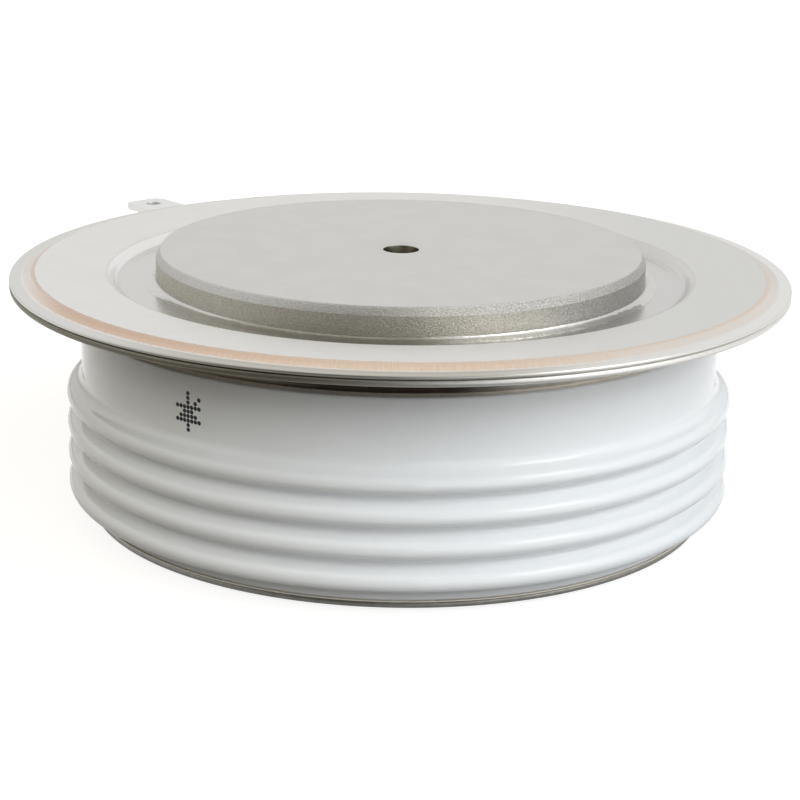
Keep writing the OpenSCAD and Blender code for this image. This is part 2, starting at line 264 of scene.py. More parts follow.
def combine(piece, other, operation):
    """Cut the other object out of the piece, or add it, and delete it."""
    apply_modifier(piece, "BOOLEAN", object=other, operation=operation, solver="EXACT")
    bpy.data.objects.remove(other)


def settle(piece):
    """Apply the object's place and turn to its mesh."""
    choose(piece)
    bpy.ops.object.transform_apply(location=True, rotation=True, scale=True)


def smooth(piece, angle=35):
    """Smooth shading that keeps flat faces flat."""
    choose(piece)
    bpy.ops.object.shade_smooth_by_angle(angle=math.radians(angle))
    apply_modifier(piece, "WEIGHTED_NORMAL", mode="FACE_AREA", weight=80, keep_sharp=True)


def rough_cast(piece, size, depth):
    """Uneven molten skin on a braze: its vertices move along their normals by clouds of that size."""
    clouds = bpy.data.textures.new(piece.name + "_skin", "CLOUDS")
    clouds.noise_scale = size
    clouds.noise_depth = 2
    apply_modifier(piece, "DISPLACE", texture=clouds, strength=depth, mid_level=0.5)


def place_piece(piece, node, finish):
    """Hand a finished piece to the frame in place of a CAD node."""
    piece.data.materials.clear()
    piece.data.materials.append(finish)
    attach(piece, "root")
    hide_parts(node)


# Finishes


class Nodes:
    """A tree of shader nodes, built up step by step."""

    def __init__(self, tree):
        self.tree = tree

    def node(self, kind, inputs=None, **settings):
        made = self.tree.nodes.new(kind)
        for name, value in settings.items():
            setattr(made, name, value)
        for name, value in (inputs or {}).items():
            self.feed(made.inputs[name], value)
        return made

    def feed(self, socket, value):
        if isinstance(value, bpy.types.NodeSocket):
            self.tree.links.new(value, socket)
        elif hasattr(value, "__len__") and len(value) == 3 and socket.type == "RGBA":
            socket.default_value = (*value, 1)
        else:
            socket.default_value = value

    def math(self, operation, first, second=0.0):
        return self.node("ShaderNodeMath", {0: first, 1: second}, operation=operation).outputs[0]

    def ramp(self, value, low, high, first=0.0, last=1.0):
        """A smooth change from first to last as the value goes from low to high."""
        inputs = {"Value": value, "From Min": low, "From Max": high, "To Min": first, "To Max": last}
        made = self.node("ShaderNodeMapRange", inputs, interpolation_type="SMOOTHSTEP")
        return made.outputs["Result"]

    def mix(self, share, first, second):
        made = self.node("ShaderNodeMix", data_type="RGBA")
        self.feed(made.inputs["Factor"], share)
        self.feed(made.inputs[6], first)
        self.feed(made.inputs[7], second)
        return made.outputs[2]


class Finish(Nodes):
    """A material on Object coordinates."""

    def __init__(self, name, colour, metallic, roughness):
        self.material = bpy.data.materials.new(name)
        self.material.use_nodes = True
        super().__init__(self.material.node_tree)
        self.shader = self.tree.nodes["Principled BSDF"]
        self.set(base_color=colour, metallic=metallic, roughness=roughness)
        self.point = self.node("ShaderNodeTexCoord").outputs["Object"]

    def set(self, **inputs):
        for name, value in inputs.items():
            self.feed(self.shader.inputs[name.replace("_", " ").title()], value)

    def stretched(self, scale):
        return self.node("ShaderNodeMapping", {"Vector": self.point, "Scale": scale}).outputs[0]

    def radius(self):
        """Distance from the capsule's axis."""
        flat = self.node("ShaderNodeVectorMath", {0: self.point, 1: (1, 1, 0)}, operation="MULTIPLY")
        return self.node("ShaderNodeVectorMath", {0: flat.outputs[0]}, operation="LENGTH").outputs["Value"]

    def along(self, axis):
        return self.node("ShaderNodeSeparateXYZ", {0: self.point}).outputs[axis]

    def round_rim(self, across):
        """Coordinates along the rim and across it, with the seam at the back."""
        backward = self.math("MULTIPLY", self.along("Y"), -1.0)
        turn = self.math("ARCTAN2", self.along("X"), backward)
        along_rim = self.math("MULTIPLY", turn, land_r)
        outward = self.math("MULTIPLY", self.radius(), across)
        return self.node("ShaderNodeCombineXYZ", {"X": along_rim, "Y": outward}).outputs[0]

    def noise(self, size, detail=2.0, rough=0.5, vector=None):
        """Cloudy noise from 0 to 1 whose features are about that size."""
        inputs = {"Vector": vector or self.point, "Scale": 1 / size, "Detail": detail, "Roughness": rough}
        return self.node("ShaderNodeTexNoise", inputs).outputs["Fac"]

    def band(self, value, low, high, soft):
        """A mask that is 1 between low and high."""
        rise = self.ramp(value, low - soft, low + soft)
        fall = self.ramp(value, high - soft, high + soft, 1.0, 0.0)
        return self.math("MULTIPLY", rise, fall)

    def bump(self, height, distance, strength=1.0):
        made = self.node("ShaderNodeBump", {"Height": height, "Strength": strength, "Distance": distance})
        return made.outputs["Normal"]


def pole_nickel():
    """Dull nickel on the contact faces, with a fine etched grain round the bevel and the side; painted
    light and shade across the bevel and the side, and painted shade in the locating hole.
    """
    dull = (0.605, 0.595, 0.565)
    dull_roughness = 0.42
    finish = Finish("pole_nickel", dull, 1.0, dull_roughness)
    radius = finish.radius()
    across = finish.along("X")
    edge = finish.ramp(radius, contact_r - 0.05 * mm, contact_r + 0.1 * mm)
    hole = finish.ramp(radius, locating_r, locating_r + 0.08 * mm, 1.0, 0.0)
    middle = face_z / 2
    off_middle = finish.math("ABSOLUTE", finish.math("SUBTRACT", finish.along("Z"), middle))
    bevel_foot = middle - bevel_drop
    side = finish.ramp(off_middle, bevel_foot - 0.06 * mm, bevel_foot + 0.06 * mm, 1.0, 0.0)
    side = finish.math("MULTIPLY", side, edge)
    cloud = finish.noise(3 * mm, 3)
    tone = finish.mix(finish.ramp(cloud, 0.3, 0.7), (0.585, 0.575, 0.545), dull)
    # Painted shade: the walls of the locating hole are darkened.
    tone = finish.mix(hole, tone, (0.30, 0.285, 0.23))
    grain = finish.noise(0.2 * mm, 3, 0.65, finish.stretched((1, 1, 2.5)))
    speckle = finish.ramp(grain, 0.3, 0.7)
    # Painted light and shade on the bevel: dim towards -X, with a stronger light and dark sparkle towards
    # +X.
    bevel_painted_dim_minus_x = finish.mix(speckle, (0.45, 0.44, 0.41), (0.55, 0.54, 0.51))
    bevel_painted_middle = finish.mix(speckle, (0.42, 0.405, 0.36), (0.63, 0.615, 0.57))
    bevel_painted_sparkle_plus_x = finish.mix(speckle, (0.29, 0.285, 0.26), (0.62, 0.61, 0.58))
    # The bevel's colour carries that painted light and shade.
    satin = finish.mix(finish.ramp(across, -20 * mm, -4 * mm), bevel_painted_dim_minus_x, bevel_painted_middle)
    satin = finish.mix(finish.ramp(across, 2 * mm, 12 * mm), satin, bevel_painted_sparkle_plus_x)
    etched = finish.mix(speckle, (0.39, 0.37, 0.31), (0.62, 0.595, 0.53))
    # Painted shade: the side of the pole is darker towards +X.
    side_painted_shade_plus_x = finish.mix(speckle, (0.25, 0.245, 0.225), (0.55, 0.545, 0.52))
    etched = finish.mix(finish.ramp(across, 6 * mm, 18 * mm), etched, side_painted_shade_plus_x)
    sparkle = finish.ramp(across, -2 * mm, 6 * mm)
    grained = finish.math("MULTIPLY", edge, finish.ramp(sparkle, 0, 1, 0.7, 1.2))
    edge_polish = finish.math("MULTIPLY", edge, finish.ramp(sparkle, 0, 1, 0.04, 0.14))
    hole_polish = finish.math("MULTIPLY", hole, 0.15)
    roughness = finish.math("SUBTRACT", dull_roughness, edge_polish)
    roughness = finish.math("SUBTRACT", roughness, hole_polish)
    finish.set(
        base_color=finish.mix(side, finish.mix(edge, tone, satin), etched),
        roughness=roughness,
        normal=finish.bump(finish.math("MULTIPLY", grain, grained), 0.1 * mm, 0.7),
    )
    return finish.material


def lid_nickel():
    """Nickel sheet: shiny in the recess and on the land, satin on the web, copper on the rubbed slope;
    painted light and shade on the web, step, recess, land and copper.
    """
    satin = (0.79, 0.775, 0.75)
    finish = Finish("lid_nickel", satin, 1.0, 0.3)
    radius = finish.radius()
    across = finish.along("X")
    depth = finish.along("Y")
    step_top = recess_r + step_run
    web = finish.ramp(radius, step_top - 0.1 * mm, step_top + 0.3 * mm)
    land = finish.ramp(radius, land_r - 0.1 * mm, land_r + 0.2 * mm)
    painted_shade_to_plus_x = finish.ramp(across, 0, 30 * mm)
    cloud = finish.noise(4 * mm, 3)
    tone = finish.mix(finish.ramp(cloud, 0.3, 0.7), (0.77, 0.755, 0.73), satin)
    # Painted shade: the web is darker towards +X.
    tone = finish.mix(painted_shade_to_plus_x, tone, (0.68, 0.675, 0.65))
    step = finish.band(radius, recess_r, step_top, 0.15 * mm)
    # Painted shade: the recess is darker than the web, and darker still towards +X.
    low = finish.mix(painted_shade_to_plus_x, (0.55, 0.54, 0.515), (0.51, 0.50, 0.48))
    # Painted highlight on the step towards -X, painted shade on it towards +X.
    step_painted_highlight = finish.mix(finish.ramp(across, -8 * mm, 8 * mm), (0.76, 0.75, 0.73), (0.57, 0.56, 0.54))
    tone = finish.mix(web, finish.mix(step, low, step_painted_highlight), tone)
    # Painted shade on the land at the near side, painted light on it towards +X.
    land_painted_light_and_shade = finish.mix(finish.ramp(depth, -35 * mm, -26 * mm), (0.48, 0.47, 0.42), (0.62, 0.61, 0.58))
    land_painted_light_and_shade = finish.mix(finish.ramp(across, 6 * mm, 18 * mm), land_painted_light_and_shade, (0.72, 0.71, 0.68))
    tone = finish.mix(land, tone, land_painted_light_and_shade)
    scuff = finish.noise(0.5 * mm, 4, 0.6)
    brushed = finish.ramp(finish.noise(0.2 * mm, 3, 0.6, finish.round_rim(0.1)), 0.25, 0.75)
    wander = finish.math("ADD", radius, finish.math("MULTIPLY", scuff, 0.3 * mm))
    wear_and_painted_reflection = finish.band(wander, web_r - 0.15 * mm, land_r + 0.1 * mm, 0.08 * mm)
    inner_line = finish.band(wander, web_r - 0.1 * mm, web_r + 0.3 * mm, 0.08 * mm)
    rubbed = finish.ramp(across, 6 * mm, 28 * mm, 1.0, 0.3)
    rubbed = finish.math("MULTIPLY", rubbed, finish.ramp(across, -37 * mm, -29 * mm, 0.35, 1.0))
    rubbed = finish.math("MAXIMUM", rubbed, finish.math("MULTIPLY", inner_line, 0.8))
    rubbed = finish.math("MULTIPLY", rubbed, finish.ramp(depth, -8 * mm, 14 * mm, 1.0, 0.3))
    # Painted shade and light on the copper: darker at the inner bend and towards -X, paler outwards and
    # towards +X.
    deep = finish.mix(brushed, (0.50, 0.355, 0.26), (0.57, 0.415, 0.315))
    pale = finish.mix(brushed, (0.67, 0.525, 0.41), (0.74, 0.605, 0.485))
    outward = finish.ramp(radius, web_r, land_r, 0.0, 0.5)
    copper_painted_light_to_plus_x = finish.ramp(across, -30 * mm, 2 * mm, 0.0, 0.7)
    copper = finish.mix(finish.math("ADD", outward, copper_painted_light_to_plus_x), deep, pale)
    pressed = finish.ramp(radius, web_r - 0.4 * mm, web_r)
    shine = finish.math("MAXIMUM", finish.ramp(web, 0, 1, 1.0, 0.65), pressed)
    pressed_polish = finish.math("MULTIPLY", pressed, 0.12)
    dullness = finish.math("SUBTRACT", finish.ramp(web, 0, 1, 0.22, 0.42), pressed_polish)
    fine = finish.noise(0.08 * mm, 2)
    scratches = finish.math("ADD", scuff, finish.math("MULTIPLY", brushed, 0.3))
    nicks = finish.math("MULTIPLY", wear_and_painted_reflection, scratches)
    relief = finish.math("ADD", fine, finish.math("MULTIPLY", nicks, 2.0))
    finish.set(
        base_color=finish.mix(finish.math("MULTIPLY", wear_and_painted_reflection, rubbed), tone, copper),
        metallic=shine,
        roughness=dullness,
        normal=finish.bump(relief, 0.006 * mm, 0.5),
    )
    return finish.material


def flange_nickel():
    """Nickel sheet: painted reflection along the rim, olive towards -X and silver towards +X; painted
    shade on the collar under it, and painted light on the tab.
    """
    finish = Finish("flange_nickel", (0.66, 0.66, 0.65), 1.0, 0.4)
    radius = finish.radius()
    across = finish.along("X")
    rim = finish.ramp(radius, rim_r - 1.6 * mm, rim_r - 0.8 * mm)
    tab = finish.ramp(radius, rim_r + 0.1 * mm, rim_r + 0.4 * mm)
    cloud = finish.noise(1.5 * mm, 3)
    # Painted shade on the collar under the rim: brownish towards -X, nearly black at the front, and
    # painted light towards +X.
    painted_collar_shade_left = finish.mix(cloud, (0.13, 0.11, 0.085), (0.22, 0.19, 0.15))
    painted_collar_shadow_front = finish.mix(cloud, (0.02, 0.015, 0.011), (0.06, 0.047, 0.036))
    painted_collar_light_plus_x = finish.mix(cloud, (0.34, 0.31, 0.27), (0.66, 0.64, 0.60))
    painted_collar_tone = finish.mix(finish.ramp(across, -15 * mm, -5 * mm), painted_collar_shade_left, painted_collar_shadow_front)
    painted_collar_tone = finish.mix(finish.ramp(across, 4 * mm, 14 * mm), painted_collar_tone, painted_collar_light_plus_x)
    streak = finish.noise(0.5 * mm, 3, 0.5, finish.stretched((1, 1, 3)))
    # Painted reflection on the rim: olive towards -X, silver towards +X.
    olive = finish.mix(streak, (0.14, 0.13, 0.10), (0.24, 0.225, 0.185))
    silver = finish.mix(streak, (0.66, 0.65, 0.62), (0.82, 0.81, 0.78))
    wear_and_painted_reflection = finish.mix(finish.ramp(across, -12 * mm, 18 * mm), olive, silver)
    # Painted light: the tab is lighter than the rest of the sheet.
    painted_light_tone = finish.mix(streak, (0.70, 0.70, 0.685), (0.80, 0.80, 0.785))
    finish.set(
        base_color=finish.mix(tab, finish.mix(rim, painted_collar_tone, wear_and_painted_reflection), painted_light_tone),
        normal=finish.bump(streak, 0.01 * mm, 0.4),
    )
    return finish.material


def dark_flange():
    """Sheet of the anode flange, dark and mottled."""
    finish = Finish("dark_flange", (0.30, 0.30, 0.30), 1.0, 0.4)
    cloud = finish.noise(0.8 * mm, 3)
    finish.set(
        base_color=finish.mix(cloud, (0.22, 0.21, 0.19), (0.38, 0.37, 0.35)),
        normal=finish.bump(cloud, 0.02 * mm, 0.5),
    )
    return finish.material


def braze_silver():
    """Braze metal: pale tan beside the ceramic, partly painted light; rougher with painted shade round the
    front of the poles, and a painted highlight towards +X.
    """
    finish = Finish("braze_silver", (0.80, 0.80, 0.78), 1.0, 0.18)
    across = finish.along("X")
    cloud = finish.noise(0.35 * mm, 3)
    outer = finish.ramp(finish.radius(), pole_r + 2 * mm, pole_r + 3 * mm)
    # Painted highlight towards +X, and painted shade in olive at the front of the poles.
    painted_glint_plus_x = finish.band(across, 5 * mm, 17 * mm, 4 * mm)
    dull_and_painted_shade = finish.band(across, -15 * mm, 3 * mm, 3 * mm)
    plain_tone = finish.mix(cloud, (0.50, 0.49, 0.465), (0.58, 0.57, 0.545))
    dull = finish.mix(cloud, (0.30, 0.29, 0.24), (0.48, 0.46, 0.40))
    painted_light_tone = finish.mix(cloud, (0.84, 0.83, 0.80), (0.95, 0.94, 0.92))
    dull = finish.mix(dull_and_painted_shade, plain_tone, dull)
    # The outer brazes are a pale tan: partly their colour, partly painted light so that they read as light
    # lines in the shade under the collar.
    tan = finish.mix(cloud, (0.74, 0.67, 0.56), (0.90, 0.88, 0.83))
    finish.set(
        base_color=finish.mix(outer, finish.mix(painted_glint_plus_x, dull, painted_light_tone), tan),
        metallic=finish.ramp(outer, 0, 1, 1.0, 0.5),
        roughness=finish.ramp(dull_and_painted_shade, 0, 1, 0.2, 0.45),
        normal=finish.bump(cloud, 0.03 * mm, 0.4),
    )
    return finish.material


def white_ceramic():
    """White glaze with a hard gloss, a little uneven where it flowed."""
    finish = Finish("white_ceramic", (0.86, 0.88, 0.90), 0.0, 0.04)
    cloud = finish.noise(5 * mm, 2)
    flow = finish.noise(2.2 * mm, 2, 0.4, finish.stretched((1, 1, 1.6)))
    finish.set(
        base_color=finish.mix(cloud, (0.85, 0.87, 0.89), (0.88, 0.895, 0.91)),
        roughness=finish.ramp(cloud, 0.3, 0.7, 0.02, 0.035),
        normal=finish.bump(flow, 0.03 * mm, 0.4),
    )
    return finish.material


def ground_metal(name, low, high, roughness, size):
    """Plain inner metal with a fine ground grain."""
    finish = Finish(name, high, 1.0, roughness)
    grain = finish.noise(size, 3)
    finish.set(base_color=finish.mix(grain, low, high), normal=finish.bump(grain, 0.01 * mm, 0.3))
    return finish.material


def moulded(name, low, high, roughness, size):
    """Moulded plastic or rubber with a faint mottle."""
    finish = Finish(name, high, 0.0, roughness)
    mottle = finish.noise(size, 3)
    finish.set(base_color=finish.mix(mottle, low, high), normal=finish.bump(mottle, 0.01 * mm, 0.2))
    return finish.material


finishes = {
    "pole_nickel": pole_nickel(),
    "lid_nickel": lid_nickel(),
    "flange_nickel": flange_nickel(),
    "dark_flange": dark_flange(),
    "braze_silver": braze_silver(),
    "white_ceramic": white_ceramic(),
    "molybdenum": ground_metal("molybdenum", (0.36, 0.36, 0.38), (0.46, 0.46, 0.48), 0.35, 0.2 * mm),
    "silicon": ground_metal("silicon", (0.17, 0.18, 0.21), (0.22, 0.23, 0.26), 0.12, 2 * mm),
    "silicone_rubber": moulded("silicone_rubber", (0.44, 0.10, 0.07), (0.53, 0.13, 0.09), 0.6, 0.6 * mm),
    "white_plastic": moulded("white_plastic", (0.80, 0.79, 0.75), (0.87, 0.86, 0.82), 0.5, 1.2 * mm),
    "silver_wire": ground_metal("silver_wire", (0.68, 0.67, 0.65), (0.78, 0.77, 0.75), 0.2, 0.3 * mm),
}
tube_nickel = ground_metal("tube_nickel", (0.60, 0.60, 0.58), (0.70, 0.70, 0.69), 0.25, 0.3 * mm)
marking_ink = moulded("marking_ink", (0.004, 0.004, 0.008), (0.012, 0.012, 0.018), 0.5, 0.2 * mm)
node_slots = {part["node"]: part["material_slot"] for part in frame["record"]["subparts"]}
for node, cad_object in frame["nodes"].items():
    cad_object.data.materials.clear()
    cad_object.data.materials.append(finishes[node_slots[node]])


# Ceramic housing


def flank_angle(crest, groove):
    """Direction of the straight flank between a crest and a groove arc, in degrees."""
    line = Vector(groove) - Vector(crest)
    lean = math.acos((crest_radius + groove_radius) / line.length)
    return math.degrees(math.atan2(line.y, line.x) - lean)


def ceramic_section():
    """Outline of the ribbed ceramic ring, anticlockwise from its foot."""
    crest_r = rib_r - crest_radius
    crests = [(crest_r, ceramic_bottom + rib_start + i * rib_pitch) for i in range(rib_count)]
    grooves = [(neck_r + groove_radius, z + rib_pitch / 2) for _, z in crests[:-1]]
    flank = flank_angle(crests[0], grooves[0])
    across = crest_r - neck_r
    shoulder_radius = (shoulder_rise**2 + across**2 - crest_radius**2) / (2 * (crest_radius + across))
    shoulder = Vector((neck_r + shoulder_radius, crests[-1][1] + shoulder_rise))
    line = shoulder - Vector(crests[-1])
    shoulder_angle = math.degrees(math.atan2(line.y, line.x))
    reach = crest_radius + groove_radius
    lean = math.radians(flank)
    fillet_r = foot_r + groove_radius
    fillet_drop = (reach - (fillet_r - crest_r) * math.cos(lean)) / math.sin(lean)
    outside = arc((fillet_r, crests[0][1] - fillet_drop), groove_radius, 180, 180 - flank)
    for i, crest in enumerate(crests):
        last = i == rib_count - 1
        outside += arc(crest, crest_radius, -flank, shoulder_angle if last else flank, 2 * arc_steps)
        if not last:
            outside += arc(grooves[i], groove_radius, 180 + flank, 180 - flank)
    outside += arc(shoulder, shoulder_radius, 180 + shoulder_angle, 180)
    neck_top = (neck_r, ceramic_top - 2 * ceramic_edge)
    neck = spaced((neck_r, shoulder.y), neck_top, 0.6 * mm)[1:]
    ends = rounded([
        neck[-1], (neck_r, ceramic_top), (bore_r, ceramic_top), (bore_r, ceramic_bottom),
        (foot_r, ceramic_bottom), outside[0],
    ], ceramic_edge, 5)
    return outside + neck[:-1] + ends[:-1]


def gate_cutter(radius, inner, outer):
    """A round bar along the gate tube's axis."""
    deselect()
    middle = (inner + outer) / 2
    bpy.ops.mesh.primitive_cylinder_add(
        vertices=48, radius=radius, depth=outer - inner,
        location=(middle * math.cos(gate_angle), middle * math.sin(gate_angle), gate_z),
        rotation=(0, math.pi / 2, gate_angle),
    )
    return bpy.context.object


def make_ceramic():
    piece = turned("glazed_ceramic", ceramic_section())
    combine(piece, gate_cutter(tube_r, body_r, rib_r + mm), "DIFFERENCE")
    smooth(piece)
    place_piece(piece, "ceramic_housing", finishes["white_ceramic"])


# Poles and their brazes


def make_cathode_pole():
    seat = recess_top - lid_sheet
    drill = locating_r / drill_slope
    inner_r = pole_r - inner_margin
    outside = rounded([
        (0, cup_top), (cup_r, cup_top), (cup_r, inner_face), (inner_r, inner_face),
        (inner_r, inner_face + inner_step), (body_r, inner_face + inner_step), (body_r, seat),
        (pole_r, seat), (pole_r, face_z - bevel_drop), (contact_r, face_z),
        (countersink_r, face_z), (locating_r, face_z - countersink_depth),
        (locating_r, face_z - locating_depth), (0, face_z - locating_depth - drill),
    ], radius=edge_round, steps=3)
    piece = turned("cathode_contact", outside, closed=False)
    deselect()
    slot_length = body_r + mm
    slot_top = gate_z + slot_r
    slot_bottom = inner_face - mm
    bpy.ops.mesh.primitive_cube_add(
        size=1, scale=(slot_length, 2 * slot_r, slot_top - slot_bottom),
        location=(slot_length / 2, 0, (slot_top + slot_bottom) / 2),
    )
    cutter = bpy.context.object
    settle(cutter)
    cutter.rotation_euler.z = gate_angle
    settle(cutter)
    combine(piece, cutter, "DIFFERENCE")
    smooth(piece)
    place_piece(piece, "cathode_pole", finishes["pole_nickel"])


def make_anode_pole():
    seat = anode_recess + flange_sheet
    drill = locating_r / drill_slope
    outside = rounded([
        (0, locating_depth + drill), (locating_r, locating_depth),
        (locating_r, countersink_depth), (countersink_r, 0), (contact_r, 0),
        (pole_r, bevel_drop), (pole_r, seat), (body_r, seat), (body_r, anode_pole_top),
        (0, anode_pole_top),
    ], radius=edge_round, steps=3)
    piece = turned("anode_contact", outside, closed=False)
    smooth(piece)
    place_piece(piece, "anode_pole", finishes["pole_nickel"])


def make_fillet(name, node, level, run, rise):
    """Hollow braze fillet in the corner between a pole and its sheet; a negative rise hangs down."""
    edge_share = 0.03
    hollow_share = 1 - edge_share
    corner = Vector((pole_r, level))
    section = [corner, corner + Vector((run, 0))]
    for i in range(arc_steps + 1):
        a = math.pi / 2 * i / arc_steps
        out = run * (1 - hollow_share * math.sin(a))
        up = rise * (1 - hollow_share * math.cos(a))
        section.append(corner + Vector((out, up)))
    section.append(corner + Vector((0, rise)))
    piece = turned(name, section, steps=fine_steps)
    rough_cast(piece, size=0.9 * mm, depth=0.08 * mm)
    smooth(piece, angle=60)
    place_piece(piece, node, finishes["braze_silver"])


# Sheets and their brazes


def make_lid():
    half = lid_sheet / 2
    path = [
        (pole_r, recess_top - half),
        (recess_r, recess_top - half),
        (recess_r + step_run, seam_z + web_inner_rise - half),
        (web_r, seam_z + web_outer_rise - half),
        (land_r, seam_z + half),
        (rim_r, seam_z + half),
    ]
    piece = turned("pressed_lid", sheet_section(path, lid_sheet, lid_bend))
    smooth(piece)
    place_piece(piece, "cathode_lid", finishes["lid_nickel"])


def make_tab():
    """Cathode tab with round corners and a hole, a hair thinner than the flange it grows out of."""
    root = rim_r - land_width
    tip = rim_r + tab_length
    middle_z = seam_z - flange_sheet / 2
    thin = flange_sheet - 0.02 * mm
    deselect()
    bpy.ops.mesh.primitive_cube_add(
        size=1, scale=(tip - root, tab_width, thin), location=((root + tip) / 2, 0, middle_z),
    )
    piece = bpy.context.object
    settle(piece)
    pick_edges(piece, lambda a, b: min(a.x, b.x) > tip - mm and abs(a.z - b.z) > 0.5 * thin)
    bpy.ops.mesh.bevel(offset=tab_corner, segments=10, affect="EDGES")
    bpy.ops.object.mode_set(mode="OBJECT")
    deselect()
    bpy.ops.mesh.primitive_cylinder_add(
        vertices=48, radius=tab_hole_r, depth=2 * mm, location=(tip - tab_width / 2, 0, middle_z),
    )
    combine(piece, bpy.context.object, "DIFFERENCE")
    apply_modifier(piece, "BEVEL", width=0.05 * mm, segments=2, limit_method="ANGLE")
    piece.rotation_euler.z = tab_angle
    settle(piece)
    return piece


def make_weld_flange():
    half = flange_sheet / 2
    foot_z = ceramic_top + braze + half
    collar_r = neck_r - half
    path = [(brazed_r, foot_z), (collar_r, foot_z), (collar_r, seam_z - half), (rim_r, seam_z - half)]
    piece = turned("weld_ring", sheet_section(path, flange_sheet, flange_bend))
    combine(piece, make_tab(), "UNION")
    smooth(piece)
    place_piece(piece, "weld_flange", finishes["flange_nickel"])


def make_anode_flange():
    half = flange_sheet / 2
    step_out = bore_r - half
    path = [
        (pole_r, anode_recess + half), (step_out - step_run, anode_recess + half),
        (step_out, anode_stand + half), (foot_r, anode_stand + half),
    ]
    piece = turned("anode_sheet", sheet_section(path, flange_sheet, flange_bend))
    smooth(piece)
    place_piece(piece, "anode_flange", finishes["dark_flange"])


def make_upper_braze():
    foot_z = ceramic_top + braze
    collar_bend = flange_bend + flange_sheet / 2
    bend_centre = (neck_r - collar_bend, foot_z + collar_bend)
    section = [Vector((brazed_r, foot_z)), Vector((brazed_r, ceramic_top))]
    section += [Vector((neck_r - ceramic_edge, ceramic_top))]
    section += arc(bend_centre, collar_bend, -60, -90, 6)
    piece = turned("collar_braze", section, steps=fine_steps)
    rough_cast(piece, size=0.5 * mm, depth=0.05 * mm)
    smooth(piece, angle=60)
    place_piece(piece, "upper_braze", finishes["braze_silver"])


def make_lower_braze():
    outer = foot_r + braze_bead
    section = rounded([
        (brazed_r, anode_foot_top), (outer, anode_foot_top),
        (outer, ceramic_bottom), (brazed_r, ceramic_bottom),
    ], radius=0.03 * mm, steps=3)
    piece = turned("foot_braze", section, steps=fine_steps)
    rough_cast(piece, size=0.5 * mm, depth=0.04 * mm)
    smooth(piece, angle=60)
    place_piece(piece, "lower_braze", finishes["braze_silver"])


# Gate terminal


def lay_along_gate(piece):
    """Turn a piece that stands on the Z axis so that it lies along the gate tube."""
    piece.rotation_euler = (0, math.pi / 2, gate_angle)
    piece.location.z = gate_z
    settle(piece)


def make_gate_tube():
    start = bore_r - tube_inner_reach
    step = tube_tip - tube_end_length
    section = rounded([
        (0, tube_tip - tube_closed), (tube_bore_r, tube_tip - tube_closed), (tube_bore_r, start),
        (tube_r, start), (tube_r, step), (tube_end_r, step), (tube_end_r, tube_tip), (0, tube_tip),
    ], radius=0.09 * mm, steps=5)
    piece = turned("gate_terminal", section, steps=64, closed=False)
    lay_along_gate(piece)
    smooth(piece)
    place_piece(piece, "gate_tube", tube_nickel)


def make_gate_braze():
    outer = tube_r + gate_collar
    sunk = 0.2 * mm
    brim = 0.1 * mm
    start = neck_r - sunk
    stop = neck_r + gate_collar
    section = [Vector((tube_r, start)), Vector((outer, start)), Vector((outer, neck_r + brim))]
    section += arc((outer, stop), gate_collar - brim, -90, -180, 8)
    piece = turned("gate_collar", section, steps=96)
    lay_along_gate(piece)
    rough_cast(piece, size=0.5 * mm, depth=0.05 * mm)
    smooth(piece, angle=60)
    place_piece(piece, "gate_braze", finishes["braze_silver"])


# Printed mark


def mark_dots():
    """Columns and rows of the printed dots that draw a thyristor's circuit symbol, from its middle."""
    lead = [(0, row) for row in (4, 3, 2, -3, -4)]
    gate = [(2, 2), (3, 3)]
    bars = [(column, row) for row in (1, -2) for column in range(-3, 4)]
    triangle = [(column, row) for row, reach in ((0, 1), (-1, 2)) for column in range(-reach, reach + 1)]
    return lead + gate + bars + triangle


def make_mark():
    """Ink dots on the glaze of the neck: one low dome, copied round the neck to each dot's place."""
    dot_foot = (0, 0, -0.02 * mm)
    deselect()
    bpy.ops.mesh.primitive_circle_add(vertices=16, radius=dot_r, fill_type="NGON", location=dot_foot)
    dot = bpy.context.object
    settle(dot)
    bpy.ops.object.mode_set(mode="EDIT")
    bpy.ops.mesh.select_mode(type="FACE")
    bpy.ops.mesh.select_all(action="SELECT")
    for lift, shrink in ((0.026 * mm, 1.0), (0.006 * mm, 0.6)):
        bpy.ops.mesh.extrude_region_move(TRANSFORM_OT_translate={"value": (0, 0, lift)})
        bpy.ops.transform.resize(value=(shrink, shrink, 1))
    bpy.ops.mesh.select_all(action="SELECT")
    bpy.ops.mesh.normals_make_consistent(inside=False)
    bpy.ops.object.mode_set(mode="OBJECT")
    copies = []
    for column, row in mark_dots():
        copy = dot.copy()
        copy.data = dot.data.copy()
        bpy.context.scene.collection.objects.link(copy)
        angle = mark_angle + column * dot_pitch / neck_r
        copy.location = (neck_r * math.cos(angle), neck_r * math.sin(angle), mark_z + row * dot_pitch)
        copy.rotation_euler = (0, math.pi / 2, angle)
        copies.append(copy)
    bpy.data.objects.remove(dot)
    deselect()
    for copy in copies:
        copy.select_set(True)
    bpy.context.view_layer.objects.active = copies[0]
    bpy.ops.object.join()
    piece = bpy.context.object
    piece.name = "printed_mark"
    piece.data.name = "printed_mark"
    settle(piece)
    smooth(piece)
    piece.data.materials.clear()
    piece.data.materials.append(marking_ink)
    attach(piece, "root")


make_ceramic()
make_cathode_pole()
make_anode_pole()
make_fillet("cathode_foot_braze", "cathode_braze", recess_top, cathode_fillet_run, cathode_fillet_rise)
make_fillet("anode_foot_braze", "anode_braze", anode_recess, anode_fillet, -anode_fillet)
make_lid()
make_weld_flange()
make_anode_flange()
make_upper_braze()
make_lower_braze()
make_gate_tube()
make_gate_braze()
make_mark()


# Studio


